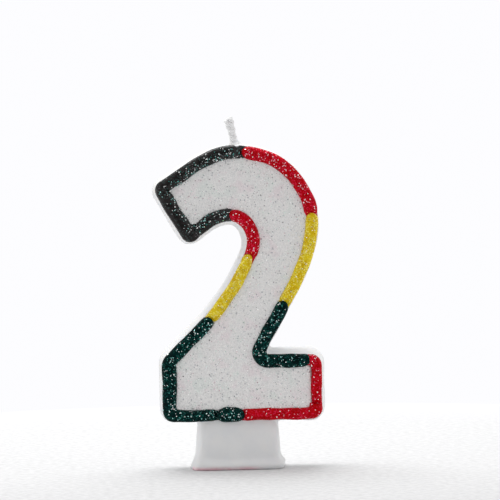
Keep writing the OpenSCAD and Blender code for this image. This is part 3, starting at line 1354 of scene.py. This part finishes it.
@dataclass
class WaxCasting:
    """The cast wax: drafted numeral, cake peg and the ragged rim at the wick.

    Attributes:
        half_bead: how far the front edge lies outside the border's middle line.
        draft: how much wider the numeral is at the back, on each side.
        dish: how far the back is sunken.
        peg_embed: how far the peg reaches up into the numeral.
        peg_widths: width of the peg at the table and where it meets the numeral.
        peg_left: how far the peg stands left of the middle.
        foot_lip: swelling of the foot, drawn in again by foot_tuck at the table.
        flare: see numeral.
        rough: spread of the broad and the narrow noise on the skin.
    """

    outline: Outline
    node: str = "wax_body"
    half_bead: float = 1.6
    draft: float = 0.8
    front_round: float = 0.25
    back_round: float = 0.9
    voxel: float = 0.31
    dish: float = 0.35
    peg_embed: float = 1.2
    peg_draft: float = 0.95
    peg_widths: tuple = (19.55, 18.0)
    peg_left: float = 0.5
    peg_squareness: float = 9.0
    foot_height: float = 3.4
    foot_lip: float = 1.0
    foot_tuck: float = 0.5
    spill: float = 1.3
    spill_height: float = 7.0
    flare: tuple = (0.6, 32.0, 36.0, 56.0, 63.0)
    collar_height: float = 1.9
    collar_sink: float = 1.2
    collar_top: float = 1.0
    collar_spread: float = 1.6
    rough: tuple = (0.05, 0.012)

    def numeral(self) -> tuple[np.ndarray, list[np.ndarray]]:
        """Builds the numeral: the outline carried from the face to the back.

        Its walls widen evenly by the draft, and quarter circles round both edges. The
        foot's right end widens further, by flare * depth between four running
        lengths where that widening starts, is full, begins to end and has ended.
        """
        face, back = face_plane(), node_box(self.node)[1, 1]
        q = np.linspace(0, math.pi / 2, 5)
        front = self.half_bead - self.front_round * (1 - np.sin(q))
        front_y = face + self.front_round * (1 - np.cos(q))
        rear = self.half_bead + self.draft - self.back_round * (1 - np.cos(q))
        rear_y = back - self.back_round * (1 - np.sin(q))
        wall = slice(1, -1)
        middle = np.linspace(front[-1], rear[0], 12)[wall]
        middle_y = np.linspace(front_y[-1], rear_y[0], 12)[wall]
        grow = np.concatenate([front, middle, rear])
        depth = np.concatenate([front_y, middle_y, rear_y])
        along = np.arange(0, self.outline.length - 0.15, 0.3)
        extra, rise_from, rise_to, fall_from, fall_to = self.flare
        window = smooth_step(along, rise_from, rise_to)
        window = window * (1 - smooth_step(along, fall_from, fall_to))
        share = (depth - depth[0]) / (depth[-1] - depth[0])
        x, z = self.outline.place(along[None], grow[:, None] + extra * share[:, None] * window)
        y = np.broadcast_to(depth[:, None], x.shape)
        points = np.stack([x, y, z], axis=-1)
        count = len(along)
        rings = points.reshape(-1, 3)
        faces = [grid_faces(len(grow), count)]
        for ring, flip in ((0, True), (len(grow) - 1, False)):
            loop = points[ring][:, [0, 2]]
            cap = filled(loop, loop)[1] + ring * count
            faces.append(cap[:, ::-1] if flip else cap)
        return rings, faces

    def peg(self) -> tuple[np.ndarray, list[np.ndarray]]:
        """Builds the peg: a rounded rectangle carried upwards from the table.

        Its width falls evenly from foot to top. The foot swells at the front and on the
        right by lip, a smooth step of height that draws in again at the table, and
        flares on the left by spill * (1 - z / spill_height)^3. The section's corners follow
        |x/a|^n + |y/b|^n = 1 with a high power n, and a grows by the peg's draft from
        front to back.
        """
        box = node_box(self.node)
        face, back = face_plane(), box[1, 1]
        top = self.outline.base + self.peg_embed
        foot = np.linspace(0, self.foot_height, 24)
        z = np.concatenate([foot, np.linspace(self.foot_height, top, 20)[1:]])
        low, high = self.peg_widths
        body = low + (high - low) * z / self.outline.base
        lip = self.foot_lip * (1 - smooth_step(z, 1.2, 3.0))
        lip -= self.foot_tuck * (1 - smooth_step(z, 0.0, 0.9))
        spill = self.spill * np.clip(1 - z / self.spill_height, 0, 1) ** 3
        front = face - np.maximum(lip, 0) * smooth_step(lip, 0, 0.3)
        turn = full_turn(240)
        cos, sin = np.cos(turn), np.sin(turn)
        power = 2 / self.peg_squareness
        round_x = np.sign(cos) * np.abs(cos) ** power
        round_y = np.sign(sin) * np.abs(sin) ** power
        middle = (box[0, 0] + box[1, 0]) / 2 - self.peg_left
        swell = np.where(cos > 0, lip[:, None], spill[:, None])
        x = middle + (body[:, None] / 2 + swell + self.peg_draft * (1 + round_y) / 2) * round_x
        y = (front[:, None] + back) / 2 + (back - front[:, None]) / 2 * round_y
        rings = np.stack([x, y, np.broadcast_to(z[:, None], x.shape)], axis=-1)
        poles = rows([[middle, (face + back) / 2, 0.0], [middle, (face + back) / 2, top]])
        return closed_tube(rings, poles)

    def collar(self, foot: np.ndarray, way: np.ndarray) -> tuple[np.ndarray, list[np.ndarray]]:
        """Builds the ragged rim of wax round the foot of the wick.

        A cone that narrows upwards, its side and its upper edge moved by noise that
        runs round it.

        Args:
            foot: point where the wick leaves the wax.
            way: direction of the wick there.
        """
        side = np.cross(way, (0.0, 1.0, 0.0))
        depth = np.cross(side, way)
        t = np.linspace(0, 1, 16)[:, None]
        turn = full_turn(48)[None]
        ragged = Waves(Seed.COLLAR, 2.4, 2).at(2 * np.cos(turn), 2 * np.sin(turn))
        sink = self.collar_sink
        height = -sink + t * (sink + self.collar_height * (0.7 + 0.36 * ragged))
        radius = self.collar_top + self.collar_spread * (1 - t) ** 1.3 * (1 + 0.34 * ragged)
        arm = np.cos(turn)[..., None] * side + np.sin(turn)[..., None] * depth
        ring = foot + height[..., None] * way + radius[..., None] * arm
        poles = np.stack([ring[0].mean(0), ring[-1].mean(0)])
        return closed_tube(ring, poles)

    def build(self, foot: np.ndarray, way: np.ndarray) -> None:
        """Joins the three parts, makes their skin even and relaxes it.

        Args:
            foot: point where the wick leaves the wax.
            way: direction of the wick there.
        """
        parts = [self.numeral(), self.peg(), self.collar(foot, way)]
        points, faces = remeshed(parts, self.voxel)
        points = relaxed(points, faces, 4)
        points = self.weathered(points)
        piece = make_piece("wax_casting", points, [faces], Slot.WAX)
        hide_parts(self.node)
        dress(piece, WaxFinish().material())
        report(piece)

    def weathered(self, points: np.ndarray) -> np.ndarray:
        """Gives the skin the unevenness of cast wax.

        Smooth noise moves every point by hundredths of a millimetre. The back, which
        was the open side of the mould, sinks by dish * a smooth step of the distance
        from its edge, and carries long shallow ripples.
        """
        back = node_box(self.node)[1, 1]
        x, y, z = points.T
        swell = Waves(Seed.WAX_SWELL, 12.0, 3)
        fine = Waves(Seed.WAX_GRAIN, 2.2, 3, 40)
        moved = points.copy()
        level = smooth_step(z, 0.3, 1.5)
        broad, narrow = self.rough
        moved[:, 0] += level * (broad * swell.at(x, y, z) + narrow * fine.at(x, y, z))
        moved[:, 2] += level * (broad * swell.at(y, z, x) + narrow * fine.at(z, x, y))
        rear = np.flatnonzero((y > back - 0.25) & (z > self.outline.base - 2))
        loop = self.outline.loop(self.half_bead + self.draft - self.back_round, 1.0)
        inland = edge_distance(loop, points[rear][:, [0, 2]])
        inland *= inside_of(loop, points[rear][:, [0, 2]])
        ripples = Waves(Seed.RIPPLES, 9.0, 2).at(x[rear], z[rear])
        moved[rear, 1] -= smooth_step(inland, 0.2, 3.5) * (self.dish + 0.05 * ripples)
        return moved


def remeshed(parts: list[tuple], voxel: float) -> tuple[np.ndarray, np.ndarray]:
    """Unites closed overlapping parts under one even skin of quads.

    Args:
        parts: points and face arrays of each part.
        voxel: size of a quad.

    Returns:
        The points and the quads.
    """
    points, faces = joined(parts)
    mesh = bpy.data.meshes.new("work")
    mesh.from_pydata(points.tolist(), [], [face for group in faces for face in group.tolist()])
    work = bpy.data.objects.new("work", mesh)
    bpy.context.scene.collection.objects.link(work)
    modifier = work.modifiers.new("skin", "REMESH")
    modifier.mode, modifier.voxel_size = "VOXEL", voxel
    result = work.evaluated_get(bpy.context.evaluated_depsgraph_get()).to_mesh()
    out = np.empty(len(result.vertices) * 3, dtype=np.float32)
    result.vertices.foreach_get("co", out)
    corners = np.empty(len(result.loops), dtype=np.int32)
    result.loops.foreach_get("vertex_index", corners)
    work.to_mesh_clear()
    bpy.data.objects.remove(work)
    bpy.data.meshes.remove(mesh)
    return out.reshape(-1, 3).astype(float), corners.reshape(-1, 4)


def relaxed(points: np.ndarray, quads: np.ndarray, rounds: int) -> np.ndarray:
    """Moves every point halfway to the mean of its neighbours, a few times over."""
    ends = np.concatenate([quads.ravel(), np.roll(quads, -1, axis=1).ravel()])
    other = np.concatenate([np.roll(quads, -1, axis=1).ravel(), quads.ravel()])
    near = np.bincount(ends, minlength=len(points))[:, None]
    for _ in range(rounds):
        sums = [np.bincount(ends, points[other, k], len(points)) for k in range(3)]
        points = (points + np.stack(sums, axis=1) / near) / 2
    return points


# ---- wick ------------------------------------------------------------------------


@dataclass
class Wick:
    """Twisted cotton wick, stiff with wax, its tip cut on a slant.

    Attributes:
        route: middle of the wick inside the wax, from its top downwards.
        lean: lean of the free end to the left, in degrees.
        stub: length of the free end.
        twist: length of one turn of the strands.
        lay: angle at which the first strand starts.
        tip_length: length over which the tip spreads and swells.
        slant: half the height of the slanted cut, in steps.
    """

    outline: Outline
    node: str = "wick"
    route: tuple = (
        (-0.1, 65.6),
        (0.9, 62.4),
        (3.6, 59.8),
        (7.5, 57.3),
        (10.8, 53.4),
        (12.2, 48.4),
        (11.6, 42.8),
        (9.2, 36.9),
        (6.0, 31.0),
        (2.8, 25.4),
        (0.2, 19.4),
        (-0.9, 13.4),
        (-1.0, 6.4),
        (-0.8, -4.0),
    )
    lean: float = 11.5
    stub: float = 7.2
    strands: int = 3
    strand_radius: float = 0.60
    strand_offset: float = 0.42
    twist: float = 5.2
    lay: float = 0.5
    step: float = 0.25
    around: int = 14
    tip_length: float = 1.6
    tip_spread: float = 0.45
    tip_swell: float = 0.35
    tip_aside: float = 0.2
    slant: float = 1.3
    rough: float = 0.05

    def path(self) -> np.ndarray:
        """Returns the wick's middle from its tip downwards, as points a step apart.

        Each coordinate is interpolated over the running length between the route's
        points and then averaged over its neighbours, which rounds the corners.
        """
        route = rows(self.route) * self.outline.scale
        angle = math.radians(self.lean)
        self.way = rows([-math.sin(angle), 0.0, math.cos(angle)])
        tip = route[0] + self.way[[0, 2]] * self.stub
        corners = np.concatenate([tip[None], route])
        mile = np.concatenate([[0], np.cumsum(np.linalg.norm(np.diff(corners, axis=0), axis=1))])
        along = np.arange(0, mile[-1], self.step)
        line = np.stack([np.interp(along, mile, corners[:, k]) for k in range(2)], axis=1)
        for _ in range(12):
            line[1:-1] = (line[:-2] + 2 * line[1:-1] + line[2:]) / 4
        box = node_box(self.node)
        depth = (box[0, 1] + box[1, 1]) / 2
        self.foot = rows([route[0, 0], depth, self.outline.base + route[0, 1]])
        height = self.outline.base + line[:, 1]
        return np.stack([line[:, 0], np.full(len(line), depth), height], axis=1)

    def build(self) -> None:
        """Builds the strands as tubes that wind round the middle line.

        A strand's middle stands offset * (cos(a) * side + sin(a) * depth) from the
        wick's middle, a growing by a full turn for each twist length. Near the tip
        the strands spread, thicken and end on a slant that rises to the right.
        """
        line = self.path()
        ahead = unit(np.gradient(line, axis=0))
        side = np.cross(ahead, (0.0, 1.0, 0.0))
        depth = np.broadcast_to((0.0, 1.0, 0.0), line.shape)
        along = np.arange(len(line)) * self.step
        tip = np.exp(-((along / self.tip_length) ** 2))
        off = (self.strand_offset * (1 + self.tip_spread * tip))[:, None]
        turn = full_turn(self.around)[None, :, None]
        arm = np.cos(turn) * side[:, None] + np.sin(turn) * depth[:, None]
        strands = []
        for k in range(self.strands):
            begins = 2 * math.pi * k / self.strands + self.lay
            start = round(self.slant * (1 - math.cos(begins)))
            lay = (2 * math.pi * (along / self.twist + k / self.strands) + self.lay)[:, None]
            middle = line + off * (np.cos(lay) * side + np.sin(lay) * depth)
            middle = middle - self.tip_aside * tip[:, None] * side
            waves = Waves(Seed.STRANDS + k, 0.9, 2, 40)
            noise = waves.at(along[:, None], 0.5 * np.cos(turn[..., 0]))
            swollen = self.strand_radius * (1 + self.tip_swell * tip)[:, None]
            radius = swollen * (1 + self.rough * noise)
            radius[start : start + 3] *= rows([0.74, 0.94, 1.0])[:, None]
            ring = (middle[:, None] + radius[..., None] * arm)[start:]
            poles = np.stack([middle[start] - 0.12 * ahead[start], middle[-1]])
            strands.append(closed_tube(ring, poles))
        piece = make_piece("twisted_wick", *joined(strands), Slot.COTTON)
        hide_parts(self.node)
        dress(piece, CottonFinish().material())
        report(piece)


# ---- floor, light and camera -----------------------------------------------------


@dataclass
class Studio:
    """Plain pale floor, soft white light and the camera."""

    camera_at: tuple = (-19.9, -548.9, 59.7)
    camera_aim: tuple = (2.83, -5.25, 52.4)
    camera_roll: float = -1.0
    lens: float = 164.4
    floor_radius: float = 190.0
    floor_drop: float = -0.02
    room_white: float = 0.91
    room_dim: float = 0.39
    dim_from: float = 0.60
    dim_to: float = 0.95
    rear_cut: float = 0.17
    rear_from: float = 0.30
    sensor: float = 36.0
    panels: tuple = (
        ("top_panel", (-40, 150, 520), (0, 10, 40), (420, 300), 1.95),
        ("left_panel", (-420, 60, 60), (0, 0, 20), (350, 300), 0.12),
        ("right_panel", (420, 60, 60), (0, 0, 20), (350, 300), 0.12),
    )

    def floor(self) -> None:
        """Builds the floor: rings of a level disc round the candle, and its middle.

        A point stands at radius * (cos(a), sin(a)) for even steps of a.
        """
        around = 96
        turn = full_turn(around)[None]
        radius = np.linspace(0, self.floor_radius, 25)[1:, None]
        x, y = radius * np.cos(turn), radius * np.sin(turn)
        points = np.stack([x, y, np.full_like(x, self.floor_drop)], axis=-1).reshape(-1, 3)
        points = np.concatenate([points, rows([[0.0, 0.0, self.floor_drop]])])
        inner = fan_faces(np.arange(around), len(points) - 1, False)
        faces = grid_faces(len(radius), around)[:, ::-1].tolist() + inner.tolist()
        mesh = bpy.data.meshes.new("floor")
        mesh.from_pydata((points * MM).tolist(), [], faces)
        floor = bpy.data.objects.new("floor", mesh)
        bpy.context.scene.collection.objects.link(floor)
        dress(floor, FloorFinish().material())

    def panel(self, name: str, at: tuple, aim: tuple, size: tuple, power: float) -> None:
        """Hangs one soft white panel light.

        Args:
            name: its name.
            at: its middle in millimetres.
            aim: the point that it faces.
            size: width and height in millimetres.
            power: power in watts.
        """
        light = bpy.data.lights.new(name, "AREA")
        light.shape = "RECTANGLE"
        light.size, light.size_y = size[0] * MM, size[1] * MM
        light.energy = power
        lamp = bpy.data.objects.new(name, light)
        lamp.location = Vector(at) * MM
        lamp.rotation_euler = (Vector(aim) - Vector(at)).to_track_quat("-Z", "Y").to_euler()
        lamp.visible_camera = False
        bpy.context.scene.collection.objects.link(lamp)

    def world(self) -> None:
        """Sets the surroundings.

        The camera sees plain white. Everything else sees a soft white room that is
        dim in front of the candle, a little dim behind it, and bright at the sides.
        """
        world = bpy.data.worlds.new("surroundings")
        bpy.context.scene.world = world
        world.use_nodes = True
        graph = Graph.of_world(world)
        way = graph.node("ShaderNodeTexCoord", output="Generated")
        front = graph.node("ShaderNodeSeparateXYZ", None, {0: way}, "Y") * -1
        glow = front.ramp(self.dim_from, self.dim_to, self.room_white, self.room_dim)
        glow = glow - (front * -1).ramp(self.rear_from, self.dim_to, 0.0, self.rear_cut)
        shade = graph.node("ShaderNodeCombineColor", None, {0: glow, 1: glow, 2: glow})
        soft = graph.node("ShaderNodeBackground", None, {"Color": shade})
        seen = graph.node("ShaderNodeBackground", None, {"Color": WHITE_AIR})
        rays = graph.node("ShaderNodeLightPath", output="Is Camera Ray")
        mix = graph.node("ShaderNodeMixShader", None, {0: rays, 1: soft, 2: seen})
        graph.tree.links.new(mix.socket, graph.output.inputs["Surface"])

    def camera(self) -> None:
        """Sets up the camera, rolled a little about its own line of sight."""
        data = bpy.data.cameras.new("camera")
        data.lens, data.sensor_width = self.lens, self.sensor
        data.clip_end = 20.0
        camera = bpy.data.objects.new("camera", data)
        camera.location = Vector(self.camera_at) * MM
        look = (Vector(self.camera_aim) - Vector(self.camera_at)).to_track_quat("-Z", "Y")
        roll = Quaternion((0.0, 0.0, 1.0), math.radians(self.camera_roll))
        camera.rotation_mode = "QUATERNION"
        camera.rotation_quaternion = look @ roll
        bpy.context.scene.collection.objects.link(camera)
        bpy.context.scene.camera = camera

    def build(self) -> None:
        """Builds the whole studio."""
        self.camera()
        self.floor()
        self.world()
        bpy.context.scene.view_settings.view_transform = "Standard"
        for settings in self.panels:
            self.panel(*settings)


# ---- assembly --------------------------------------------------------------------


def main() -> None:
    """Builds the candle and its surroundings."""
    logging.basicConfig(level=logging.INFO, format="%(name)s: %(message)s")
    outline = Outline()
    Studio().build()
    wick = Wick(outline)
    wick.build()
    WaxCasting(outline).build(wick.foot, wick.way)
    Border(outline).build()
    GlazedFace(outline).build()


if __name__ == "__main__":
    main()
